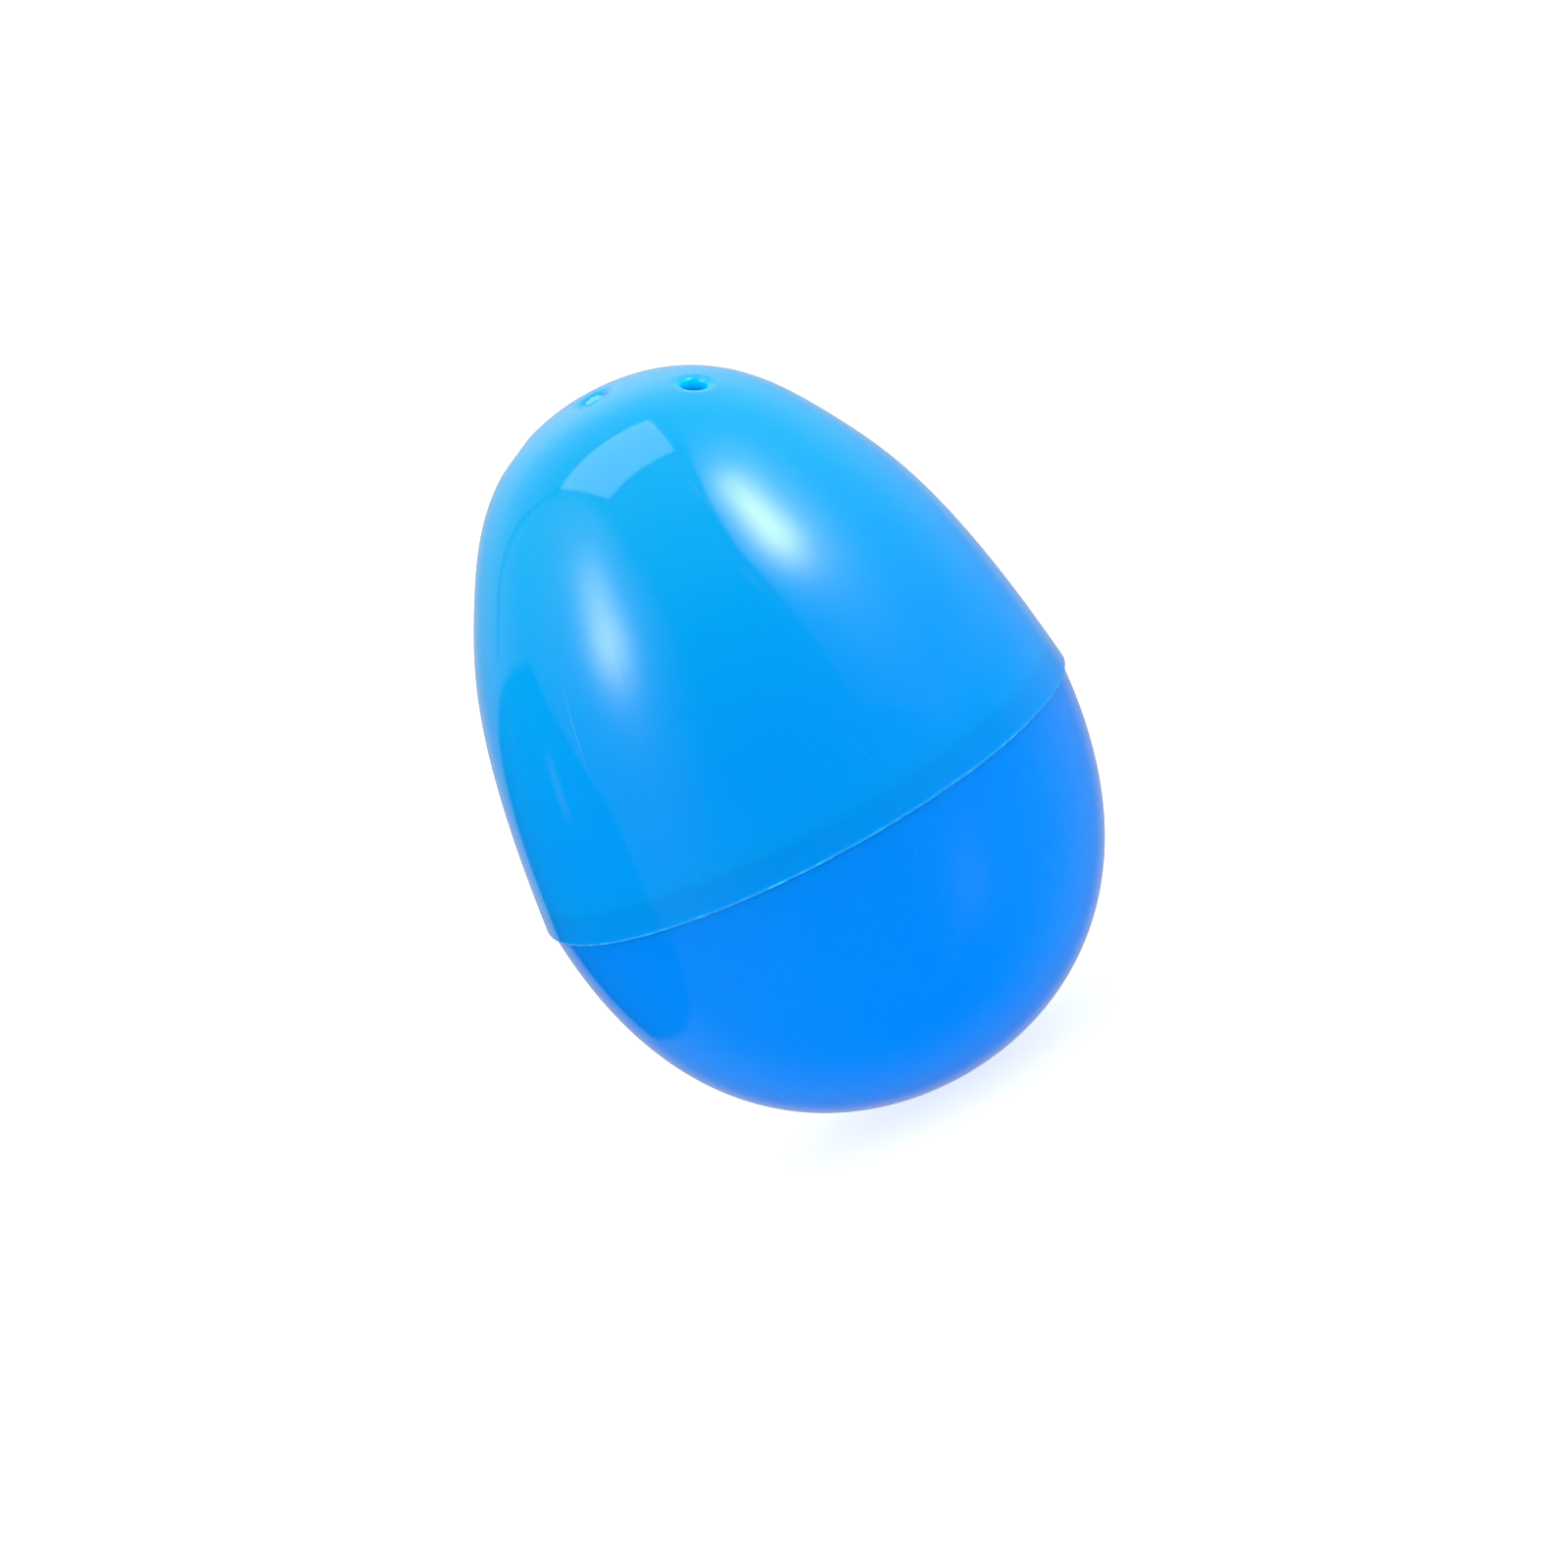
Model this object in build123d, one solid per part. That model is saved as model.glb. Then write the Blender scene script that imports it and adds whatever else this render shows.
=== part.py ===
from build123d import *

import os
from math import cos, radians, sqrt, tan

# An egg shaker: two moulded shells that close at a stepped rim, with loose steel pellets inside.
# Millimetres. +Z runs along the egg's axis, narrow end up. The origin is the centre of the small flat
# land under the blunt end, so the egg stands on Z = 0. The two vent holes lie on the X axis.

# Outline of the whole egg. The poles are those of the smooth outline, before the land and the gate cut it.
egg_height = 64.65  # top pole above the land
rim_diameter = 48.4  # widest part, the upper shell's rim
seam_height = 26.3  # rim of the upper shell above the land
land_depth = 0.25  # bottom pole below the land, cut off flat
wall = 1.5

# Upper shell's outline: a curve pulled by a crown handle, a middle handle and a flank handle.
crown_handle = 19.1  # level run at the top pole
middle_radius = 14.3
middle_drop = 20.0  # below the top pole
flank_drop = 4.8  # below the top pole, on the rim's draft line
upper_draft = 6.25  # degrees, at the rim

# Lower shell's outline.
base_handle = 10.4  # level run at the bottom pole
heel_rise = 6.4  # above the bottom pole, on the rim's draft line
lower_draft = 2.9  # degrees, at the rim
rim_step = 0.36  # how far the upper rim stands proud of the lower shell

# Rim joint: the lower shell's spigot goes up inside the upper shell's socket and snaps there.
skirt_thickness = 0.85  # upper shell beside the socket
rim_edge_radius = 0.2
spigot_height = 2.7
spigot_gap = 0.1  # radial, spigot to socket
spigot_lead = 0.25  # chamfer on the spigot's top edge
ledge_gap = 0.2  # above the spigot's top
bead_height = 1.6  # above the seam
bead_width = 0.9
bead_slip = 0.01  # bead's crest to the socket wall while it slides
groove_gap = 0.03  # round the bead when closed

# Crown: the moulding gate in its shallow dimple, and two vent holes square to the wall.
gate_dimple_diameter = 4.7
gate_dimple_depth = 0.4
gate_nub_diameter = 1.5
gate_nub_height = 0.22
vent_diameter = 2.3
vent_offset = 8.8  # from the axis, on the outer surface
vent_lip_radius = 0.4
vent_angles = (0.0, 180.0)

# Pellets: one layer of balls lining the bowl, on a triangular grid.
pellet_diameter = 4.0
pellet_spread = 0.2  # between neighbours, seen in plan
pellet_rings = 3
pellet_gap = 0.03  # to the bowl

CURVE_POINTS = 36  # along an inset curve
SEAM_TURN = 45.0  # degrees, keeps the surfaces' closing line off the vent holes
OVERCUT = 1.0  # how far a cutting solid runs past what it cuts

rim_radius = rim_diameter / 2
lower_rim_radius = rim_radius - rim_step
socket_radius = rim_radius - skirt_thickness
spigot_radius = socket_radius - spigot_gap
spigot_top = seam_height + spigot_height
ledge_height = spigot_top + ledge_gap
bead_proud = spigot_gap - bead_slip
pellet_radius = pellet_diameter / 2
pellet_spacing = pellet_diameter + pellet_spread


def upper_outline():
    """Upper shell's outer curve, from the top pole to the rim."""
    flank_height = egg_height - flank_drop
    flank_radius = rim_radius - (flank_height - seam_height) * tan(radians(upper_draft))
    return Bezier(
        (0, 0, egg_height),
        (crown_handle, 0, egg_height),
        (middle_radius, 0, egg_height - middle_drop),
        (flank_radius, 0, flank_height),
        (rim_radius, 0, seam_height),
    )


def lower_outline():
    """Lower shell's outer curve, from the bottom pole to the rim."""
    heel_height = heel_rise - land_depth
    heel_radius = lower_rim_radius - (seam_height - heel_height) * tan(radians(lower_draft))
    return Bezier(
        (0, 0, -land_depth),
        (base_handle, 0, -land_depth),
        (heel_radius, 0, heel_height),
        (lower_rim_radius, 0, seam_height),
    )


def inset_point(outline, share, depth, side):
    """Point at a depth inside an outline. The side is +1 for the upper outline, -1 for the lower."""
    place = outline @ share
    run = outline % share
    return place + Vector(run.Z, 0, -run.X) * depth * side


def inset_curve(outline, depth, side):
    """Smooth curve at a constant depth inside an outline, from the axis to the rim."""
    shares = [i / (CURVE_POINTS - 1) for i in range(CURVE_POINTS)]
    points = [inset_point(outline, share, depth, side) for share in shares]
    return Spline(*points, tangents=(outline % 0, outline % 1))


def spin(edges):
    """Solid of revolution about Z of the area that the edges enclose."""
    return Rot(0, 0, SEAM_TURN) * revolve(make_face(edges), Axis.Z)


def capped(curve):
    """Solid of revolution inside a curve that starts on the axis, closed level at its other end."""
    end = curve @ 1
    return spin([curve, Polyline(end, (0, 0, end.Z), curve @ 0)])


def disc(radius, low, high):
    """Upright cylinder on the axis between two heights."""
    return Pos(0, 0, low) * Cylinder(radius, high - low, align=(Align.CENTER, Align.CENTER, Align.MIN))


def ring_bump(radius, proud, width, height):
    """Rounded ring round the axis: a shallow arc proud of a radius, centred on a height."""
    low = (radius, 0, height - width / 2)
    high = (radius, 0, height + width / 2)
    arc = ThreePointArc(low, (radius + proud, 0, height), high)
    back = Polyline(high, (radius - proud, 0, high[2]), (radius - proud, 0, low[2]), low)
    return spin([arc, back])


def upper_hollow():
    """Everything that is empty inside the upper shell: the dome, the socket and its groove."""
    dome = capped(inset_curve(upper_outline(), wall, 1))
    socket = disc(socket_radius, seam_height - OVERCUT, ledge_height)
    groove = ring_bump(
        socket_radius, bead_proud - spigot_gap + groove_gap + bead_slip, bead_width + 2 * groove_gap,
        seam_height + bead_height,
    )
    return dome + socket + groove


def gate_dimple():
    """Ball that presses the shallow dimple into the top pole."""
    half = gate_dimple_diameter / 2
    radius = (half**2 + gate_dimple_depth**2) / (2 * gate_dimple_depth)
    return Pos(0, 0, egg_height - gate_dimple_depth + radius) * Sphere(radius)


def gate_nub():
    """Stub where the moulding was broken off its feed, standing in the dimple."""
    floor = egg_height - gate_dimple_depth
    return disc(gate_nub_diameter / 2, floor - gate_nub_height, floor + gate_nub_height)


def share_at_radius(outline, radius, depth, side):
    """Where along an outline its inset point lies at a radius from the axis, by halving."""
    low, high = 0.0, 1.0
    for _ in range(40):
        share = (low + high) / 2
        if inset_point(outline, share, depth, side).X < radius:
            low = share
        else:
            high = share
    return (low + high) / 2


def vent_place(angle):
    """Place on the upper shell's surface at a vent hole, its Z square to the wall and outward."""
    outline = upper_outline()
    share = share_at_radius(outline, vent_offset, 0, 1)
    place = outline @ share
    run = outline % share
    return Rot(0, 0, angle) * Location(Plane(place, (0, 1, 0), (-run.Z, 0, run.X)))


def vent_cutter():
    """What a vent hole takes away: a straight bore with a mouth that flares like a rounded edge."""
    bore = vent_diameter / 2
    mouth = bore + vent_lip_radius
    low = -wall - OVERCUT
    bend = vent_lip_radius * (1 - cos(radians(45)))
    flare = ThreePointArc((bore, 0, -vent_lip_radius), (bore + bend, 0, -bend), (mouth, 0, 0))
    top = Polyline((mouth, 0, 0), (mouth, 0, OVERCUT), (0, 0, OVERCUT))
    bottom = Polyline((0, 0, OVERCUT), (0, 0, low), (bore, 0, low), (bore, 0, -vent_lip_radius))
    return spin([flare, top, bottom])


def upper_shell():
    """Narrow half of the egg: dome, socket rim, gate and vent holes."""
    shell = capped(upper_outline())
    rim_edge = shell.edges().filter_by(GeomType.CIRCLE).sort_by(Axis.Z)[0]
    shell = fillet(rim_edge, rim_edge_radius)
    shell = shell - gate_dimple() + gate_nub() - upper_hollow()
    for angle in vent_angles:
        shell = shell - vent_place(angle) * vent_cutter()
    return shell


def lower_hollow():
    """Everything that is empty inside the lower shell: the bowl and the spigot's bore."""
    bowl = inset_curve(lower_outline(), wall, -1)
    mouth = bowl @ 1
    return capped(bowl) + disc(mouth.X, mouth.Z, spigot_top + OVERCUT)


def spigot():
    """Collar that goes up inside the upper shell, solid, with its snap bead and lead-in."""
    root = seam_height - spigot_height
    collar = disc(spigot_radius, root, spigot_top)
    collar = chamfer(collar.edges().filter_by(GeomType.CIRCLE).sort_by(Axis.Z)[-1], spigot_lead)
    return collar + ring_bump(spigot_radius, bead_proud, bead_width, seam_height + bead_height)


def lower_shell():
    """Blunt half of the egg: bowl, spigot and the flat land it stands on."""
    bowl = capped(lower_outline())
    under = disc(rim_radius, -land_depth - OVERCUT, 0)
    return bowl + spigot() - lower_hollow() - under


def grid_places():
    """Plan positions of the pellets: every point of a triangular grid inside a hexagon."""
    places = []
    for row in range(-pellet_rings, pellet_rings + 1):
        for step in range(-pellet_rings, pellet_rings + 1):
            if abs(row + step) <= pellet_rings:
                places.append((pellet_spacing * (step + row / 2), pellet_spacing * row * sqrt(3) / 2))
    return places


def rest_height(reach):
    """Height of a pellet's centre when it rests on the bowl at a distance from the axis."""
    outline = lower_outline()
    depth = wall + pellet_gap + pellet_radius
    share = share_at_radius(outline, reach, depth, -1)
    return inset_point(outline, share, depth, -1).Z


def pellets():
    """Name and solid of each loose pellet."""
    balls = {}
    for index, (x, y) in enumerate(grid_places(), start=1):
        height = rest_height(sqrt(x * x + y * y))
        balls[f"pellet_{index:02d}"] = Pos(x, y, height) * Sphere(pellet_radius)
    return balls


def main():
    """Writes one STEP file for each piece."""
    pieces = {"upper_shell": upper_shell(), "lower_shell": lower_shell()}
    pieces.update(pellets())
    os.makedirs("parts", exist_ok=True)
    for name, solid in pieces.items():
        export_step(solid, f"parts/{name}.step")


main()
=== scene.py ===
import logging
import math
import random
from collections.abc import Iterable, Sequence
from dataclasses import dataclass, field
from enum import Enum

import bmesh
import bpy
import numpy as np
from mathutils import Euler, Matrix, Vector


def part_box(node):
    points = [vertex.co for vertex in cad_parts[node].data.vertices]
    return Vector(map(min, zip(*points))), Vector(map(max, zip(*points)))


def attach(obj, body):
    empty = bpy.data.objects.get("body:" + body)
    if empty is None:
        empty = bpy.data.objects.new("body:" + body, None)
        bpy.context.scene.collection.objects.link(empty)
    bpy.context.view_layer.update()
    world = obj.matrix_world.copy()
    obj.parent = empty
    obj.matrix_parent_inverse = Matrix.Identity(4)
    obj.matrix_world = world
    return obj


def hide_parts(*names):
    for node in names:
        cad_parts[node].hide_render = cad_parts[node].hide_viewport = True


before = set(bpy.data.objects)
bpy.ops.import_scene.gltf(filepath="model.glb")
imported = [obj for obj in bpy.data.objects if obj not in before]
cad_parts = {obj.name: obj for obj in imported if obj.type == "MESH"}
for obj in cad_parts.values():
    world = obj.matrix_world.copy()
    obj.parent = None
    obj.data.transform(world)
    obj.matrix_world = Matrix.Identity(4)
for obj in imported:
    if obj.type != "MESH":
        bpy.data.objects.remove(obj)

MM = 0.001
LOG = logging.getLogger("egg_shaker")
RIM_RADIUS = 24.2  # the egg's widest, at the narrow half's rim
COLUMNS = 384  # vertices round each shell
SHARE_STEP = 0.0005  # step along an outline when looking for a height
EASED = "SMOOTHSTEP"  # how a node's ramp runs between its levels

Point = tuple[float, float]
Triple = tuple[float, float, float]
Tree = bpy.types.NodeTree
Node = bpy.types.Node
Socket = bpy.types.NodeSocket
Feed = Node | Socket | float | Sequence[float]


class Half(Enum):
    """Which moulded half of the egg, and which way its outline turns inward."""

    NARROW = -1
    BLUNT = 1


class PanelRole(Enum):
    """What a studio panel does: a diffuser gives light, a flag holds it back."""

    DIFFUSER = "diffuser"
    FLAG = "flag"


def linear(hex_colour: str) -> tuple[float, float, float, float]:
    """Turns an sRGB hex colour into linear RGBA.

    Args:
        hex_colour: six hex digits, with or without a leading #.

    Returns:
        Red, green, blue in linear light, and an alpha of 1.
    """
    digits = hex_colour.lstrip("#")
    shares = [int(digits[i : i + 2], 16) / 255 for i in (0, 2, 4)]
    return tuple(s / 12.92 if s <= 0.04045 else ((s + 0.055) / 1.055) ** 2.4 for s in shares) + (1.0,)


def add_node(tree: Tree, kind: str, inputs: dict[int | str, Feed] | None = None, **settings: object) -> Node:
    """Adds a node with its settings and links.

    Args:
        tree: node tree to add to.
        kind: the node's type name, without its leading ShaderNode.
        inputs: input name or number to what feeds it: a node's first output, a socket, or a fixed value.
        settings: attributes of the node.

    Returns:
        The new node.
    """
    node = tree.nodes.new(f"ShaderNode{kind}")
    for name, value in settings.items():
        setattr(node, name, value)
    for key, feed in (inputs or {}).items():
        if isinstance(feed, Node):
            feed = feed.outputs[0]
        if isinstance(feed, Socket):
            tree.links.new(feed, node.inputs[key])
        else:
            node.inputs[key].default_value = feed
    return node


def start_material(name: str) -> tuple[bpy.types.Material, Tree, Socket]:
    """Starts an empty node material.

    Args:
        name: the material's name.

    Returns:
        The material, its tree, and the output with the object position in metres.
    """
    material = bpy.data.materials.new(name)
    material.use_nodes = True
    tree = material.node_tree
    tree.nodes.clear()
    return material, tree, add_node(tree, "TexCoord").outputs["Object"]


def new_piece(name: str, places: Sequence[Triple], faces: Sequence[Sequence[int]]) -> bpy.types.Object:
    """Puts a new mesh object in the scene.

    Args:
        name: the piece's name.
        places: vertex positions in metres.
        faces: vertex numbers of each face.

    Returns:
        The object.
    """
    mesh = bpy.data.meshes.new(name)
    mesh.from_pydata(places, [], faces)
    piece = bpy.data.objects.new(name, mesh)
    bpy.context.scene.collection.objects.link(piece)
    return piece


def smooth_outward(piece: bpy.types.Object) -> None:
    """Turns every face of a closed mesh outward and shades it smooth.

    Args:
        piece: the mesh object to mend.
    """
    work = bmesh.new()
    work.from_mesh(piece.data)
    bmesh.ops.recalc_face_normals(work, faces=work.faces)
    work.to_mesh(piece.data)
    work.free()
    piece.data.shade_smooth()


def smooth_share(value: np.ndarray | float, low: float, high: float) -> np.ndarray | float:
    """Smooth step from 0 at low to 1 at high.

    Args:
        value: where to read the step.
        low: start of the step.
        high: end of the step.

    Returns:
        The eased share, the same shape as value.
    """
    share = np.clip((value - low) / (high - low), 0.0, 1.0)
    return share * share * (3.0 - 2.0 * share)


def corner_arc(before: Point, corner: Point, after: Point, radius: float, steps: int = 5) -> list[Point]:
    """Rounds one corner of a half-profile.

    Args:
        before: a point on the run into the corner.
        corner: the sharp corner.
        after: a point on the run out of the corner.
        radius: rounding radius.
        steps: number of straight pieces in the arc.

    Returns:
        Points from the arc's start to its end, with a close support point at either side.
    """
    tip = np.array(corner)
    back = np.array(before) - tip
    ahead = np.array(after) - tip
    back /= np.linalg.norm(back)
    ahead /= np.linalg.norm(ahead)
    half = math.acos(float(np.clip(back @ ahead, -1.0, 1.0))) / 2
    reach = radius / math.tan(half)
    middle = back + ahead
    centre = tip + middle / np.linalg.norm(middle) * radius / math.sin(half)
    first = tip + back * reach - centre
    last = tip + ahead * reach - centre
    whole = math.acos(float(np.clip(first @ last / radius**2, -1.0, 1.0)))
    points = [tip + back * reach * 1.35]
    for i in range(steps + 1):
        share = i / steps
        mix = (math.sin((1 - share) * whole) * first + math.sin(share * whole) * last) / math.sin(whole)
        points.append(centre + mix)
    points.append(tip + ahead * reach * 1.35)
    return [(float(p[0]), float(p[1])) for p in points]


@dataclass(frozen=True)
class Outline:
    """Outer half-profile of a shell as (radius, height), from its pole to its rim."""

    handles: tuple[Point, ...]
    half: Half

    def point(self, share: float) -> np.ndarray:
        """Point on the curve.

        Args:
            share: 0 at the pole, 1 at the rim.

        Returns:
            Radius and height.
        """
        rows = np.array(self.handles, float)
        while len(rows) > 1:
            rows = rows[:-1] * (1 - share) + rows[1:] * share
        return rows[0]

    def inset(self, share: float, depth: float) -> np.ndarray:
        """Point at a depth inside the curve.

        Args:
            share: 0 at the pole, 1 at the rim.
            depth: distance square to the curve, inward.

        Returns:
            Radius and height.
        """
        rows = np.array(self.handles, float)
        steps = np.diff(rows, axis=0)
        while len(steps) > 1:
            steps = steps[:-1] * (1 - share) + steps[1:] * share
        run = steps[0] / np.linalg.norm(steps[0])
        turn = self.half.value
        return self.point(share) + depth * turn * np.array([-run[1], run[0]])

    def share_at_radius(self, radius: float, depth: float = 0.0) -> float:
        """Where the inset curve reaches a radius.

        Args:
            radius: distance from the axis.
            depth: how deep inside the outline.

        Returns:
            Share along the outline.
        """
        low, high = 0.0, 1.0
        for _ in range(40):
            middle = (low + high) / 2
            if self.inset(middle, depth)[0] < radius:
                low = middle
            else:
                high = middle
        return (low + high) / 2

    def rows(self, shares: Iterable[float], depth: float = 0.0) -> list[Point]:
        """Points of the curve, or at a depth inside it, one for each share."""
        return [tuple(self.inset(share, depth).tolist()) for share in shares]

    def share_clear_of(self, height: float, depth: float = 0.0) -> float:
        """First share, stepping back from the rim, that has left a height behind.

        Args:
            height: the height to leave.
            depth: how deep inside the outline.

        Returns:
            Share along the outline.
        """
        share = 1.0
        while (self.inset(share, depth)[1] - height) * self.half.value > 0:
            share -= SHARE_STEP
        return share


@dataclass
class TurnedMesh:
    """A closed body turned about Z from rows of (radius, height), with patches let into it."""

    rows: list[Point]
    columns: int
    spots: np.ndarray = field(init=False)
    extra: list[np.ndarray] = field(default_factory=list)
    faces: list[tuple[int, ...]] = field(default_factory=list)
    skipped: set[tuple[int, int]] = field(default_factory=set)

    def __post_init__(self) -> None:
        """Places every grid vertex."""
        angles = np.arange(self.columns) * 2 * math.pi / self.columns
        ring = np.stack([np.cos(angles), np.sin(angles)], 1)
        profile = np.array(self.rows, float)
        self.spots = np.empty((len(self.rows), self.columns, 3))
        self.spots[:, :, :2] = profile[:, None, :1] * ring[None]
        self.spots[:, :, 2] = profile[:, 1:]

    def index(self, row: int, column: int) -> int:
        """Number of a grid vertex."""
        return row * self.columns + column % self.columns

    def add_ring(self, points: np.ndarray) -> list[int]:
        """Adds loose vertices.

        Args:
            points: positions, one per row.

        Returns:
            Their vertex numbers.
        """
        start = len(self.rows) * self.columns + sum(len(p) for p in self.extra)
        self.extra.append(points)
        return list(range(start, start + len(points)))

    def join(self, first: list[int], second: list[int], closed: bool = True) -> None:
        """Fills between two rings of equal length.

        Args:
            first: vertex numbers of one ring.
            second: vertex numbers of the next ring.
            closed: whether the rings close on themselves.
        """
        count = len(first)
        for i in range(count if closed else count - 1):
            j = (i + 1) % count
            self.faces.append((first[i], first[j], second[j], second[i]))

    def block_loop(self, top: int, bottom: int, middle: int, reach: int) -> list[int]:
        """Takes a block out of the grid and gives its border.

        Args:
            top: first row of the block.
            bottom: last row of the block.
            middle: column at the block's centre.
            reach: columns to each side of it.

        Returns:
            Vertex numbers round the block, starting at its top left.
        """
        low, high = min(top, bottom), max(top, bottom)
        for row in range(low, high):
            for column in range(middle - reach, middle + reach):
                self.skipped.add((row, column % self.columns))
        step = 1 if bottom > top else -1
        loop = [self.index(top, c) for c in range(middle - reach, middle + reach)]
        loop += [self.index(r, middle + reach) for r in range(top, bottom, step)]
        loop += [self.index(bottom, c) for c in range(middle + reach, middle - reach, -1)]
        loop += [self.index(r, middle - reach) for r in range(bottom, top, -step)]
        return loop

    def write(self, name: str) -> bpy.types.Object:
        """Writes the mesh in metres.

        Args:
            name: the piece's name.

        Returns:
            The new object, shaded smooth.
        """
        for row in range(len(self.rows) - 1):
            for column in range(self.columns):
                if (row, column) not in self.skipped:
                    corners = ((row, column), (row + 1, column), (row + 1, column + 1), (row, column + 1))
                    self.faces.append(tuple(self.index(*corner) for corner in corners))
        first_pole = self.add_ring(self.spots[0].mean(0)[None])[0]
        last_pole = self.add_ring(self.spots[-1].mean(0)[None])[0]
        last = len(self.rows) - 1
        for column in range(self.columns):
            self.faces.append((self.index(0, column), self.index(0, column + 1), first_pole))
            self.faces.append((self.index(last, column + 1), self.index(last, column), last_pole))
        places = np.concatenate([self.spots.reshape(-1, 3), *self.extra]) * MM
        used = np.zeros(len(places), bool)
        for face in self.faces:
            used[list(face)] = True
        number = np.cumsum(used) - 1
        faces = [tuple(int(number[v]) for v in face) for face in self.faces]
        piece = new_piece(name, places[used].tolist(), faces)
        piece.data.validate()
        smooth_outward(piece)
        return piece


@dataclass(frozen=True)
class ShellPoint:
    """What the shells' shader knows of a point: object position in metres, its Z, and its angle about Z."""

    tree: Tree
    place: Socket
    height: Socket
    turn: Node

    def between(self, low: float, high: float, ease: float) -> Node:
        """Soft mask that is 1 between two heights.

        Args:
            low: where the mask comes in.
            high: where it goes out.
            ease: half the width of each soft edge.

        Returns:
            Mask.
        """
        rise = {0: self.height, 1: (low - ease) * MM, 2: (low + ease) * MM}
        fall = {0: self.height, 1: (high - ease) * MM, 2: (high + ease) * MM, 3: 1.0, 4: 0.0}
        rise_mask = add_node(self.tree, "MapRange", rise, interpolation_type=EASED)
        fall_mask = add_node(self.tree, "MapRange", fall, interpolation_type=EASED)
        return add_node(self.tree, "Math", {0: rise_mask, 1: fall_mask}, operation="MULTIPLY")


@dataclass(frozen=True)
class MouldedPolypropylene:
    """Pigmented polypropylene, injection moulded in a polished steel mould.

    The eye gets a clean wet-looking gloss, an even strong colour with a faint milky depth where light goes a
    little way in, soft sink where the wall changes thickness, and hairline handling marks. Some light is
    painted
    in: a paler crown, a rim edge line that is part wear and part painted highlight, and a painted glow at
    that edge and inside the vent holes.
    """

    name: str
    body_hex: str
    deep_hex: str
    crown_light_hex: str
    band_hex: str
    # rim edge colour: part wear, part painted highlight
    edge_wear_and_sheen_hex: str
    band_low: float
    band_high: float
    edge_high: float
    gate_height: float
    scratch_angle: float
    scratch_low: float
    scratch_high: float
    rub_angle: float
    rub_height: float
    vent_place: Triple = (0.0, 0.0, 1000.0)
    vent_axis: Triple = (0.0, 0.0, 1.0)
    scuffed_hex: str = "#8AD6FF"
    # gate stub's paler colour: part stress-whitened plastic, part painted glint
    stub_hex: str = "#7FE6F4"
    scuff_paleness: float = 0.12
    roughness: float = 0.06
    marked_extra: float = 0.16  # roughness a mark adds
    edge_extra: float = 0.3  # roughness the rim's edge adds
    ior: float = 1.49
    specular: float = 0.5
    depth_weight: float = 0.55
    depth_reach: float = 1.6  # how far red, green and blue light travel in the wall, times the shares below
    depth_shares: Triple = (0.25, 0.6, 1.0)
    crown_light_low: float = 32.0  # painted light: the crown is painted paler from this height, as if lit more from above
    crown_light_high: float = 66.0
    cloud_size: float = 22.0  # pigment swirl, one swell
    peel_size: float = 2.6  # mould polish ripple, crest to crest
    peel_depth: float = 0.12
    mark_depth: float = 0.04
    hairline_spacing: float = 1.5  # real ones are finer, these are as fine as shows
    hairline_length: float = 14.0
    groove_spacing: float = 0.12
    rub_width: float = 0.042  # half of it, in radians
    rub_length: float = 2.6  # half of it
    speck_size: float = 1.1
    # painted glow on the rim edge's specks
    painted_speck_glow: float = 0.16
    # painted glow inside the vent holes
    painted_vent_glow: float = 0.55

    def build(self) -> bpy.types.Material:
        """Makes the material.

        Returns:
            A node material for the shells.
        """
        material, tree, place = start_material(self.name)
        axes = add_node(tree, "SeparateXYZ", {0: place}).outputs
        turn = add_node(tree, "Math", {0: axes["Y"], 1: axes["X"]}, operation="ARCTAN2")
        at = ShellPoint(tree, place, axes["Z"], turn)
        marks = self.hairlines(at)
        for other in (self.long_mark(at), self.rubbed_patch(at)):
            marks = add_node(tree, "Math", {0: marks, 1: other}, operation="MAXIMUM")
        edge = at.between(self.band_low - 1.0, self.edge_high, 0.06)
        # the rim's pale edge line: part wear, part painted highlight
        edge_wear_and_highlight = self.wear_and_highlight_specks(at, edge)
        scuffed = add_node(tree, "Math", {0: marks, 1: self.scuff_paleness}, operation="MULTIPLY")
        pigment = {0: scuffed, 6: self.colour(at, edge_wear_and_highlight), 7: linear(self.scuffed_hex)}
        colour = add_node(tree, "Mix", pigment, data_type="RGBA").outputs[2]
        levels = {0: marks, 3: self.roughness, 4: self.roughness + self.marked_extra}
        rough = add_node(tree, "MapRange", levels)
        rough = add_node(tree, "Math", {0: edge, 1: self.edge_extra, 2: rough}, operation="MULTIPLY_ADD")
        ripple = {"Vector": place, "Scale": 1 / (self.peel_size * MM), "Detail": 1.5, "Roughness": 0.4}
        peel = add_node(tree, "TexNoise", ripple)
        relief = add_node(tree, "Bump", {"Height": peel, "Strength": 0.05, "Distance": self.peel_depth * MM})
        cuts = {"Height": marks, "Normal": relief, "Strength": 0.25, "Distance": self.mark_depth * MM}
        relief = add_node(tree, "Bump", cuts, invert=True)
        # painted light: the rim edge's specks and the vent holes' insides glow, though no lamp is there
        painted_glow = {0: edge_wear_and_highlight, 1: self.painted_speck_glow, 2: self.paint_vent_glow(at)}
        shader = add_node(
            tree,
            "BsdfPrincipled",
            {
                "Base Color": colour,
                "Metallic": 0.0,
                "Roughness": rough,
                "Normal": relief,
                "IOR": self.ior,
                "Specular IOR Level": self.specular,
                "Subsurface Weight": self.depth_weight,
                "Subsurface Radius": self.depth_shares,
                "Subsurface Scale": self.depth_reach * MM,
                "Emission Color": linear(self.crown_light_hex),
                "Emission Strength": add_node(tree, "Math", painted_glow, operation="MULTIPLY_ADD"),
            },
            subsurface_method="RANDOM_WALK",
        )
        add_node(tree, "OutputMaterial", {"Surface": shader})
        return material

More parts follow.
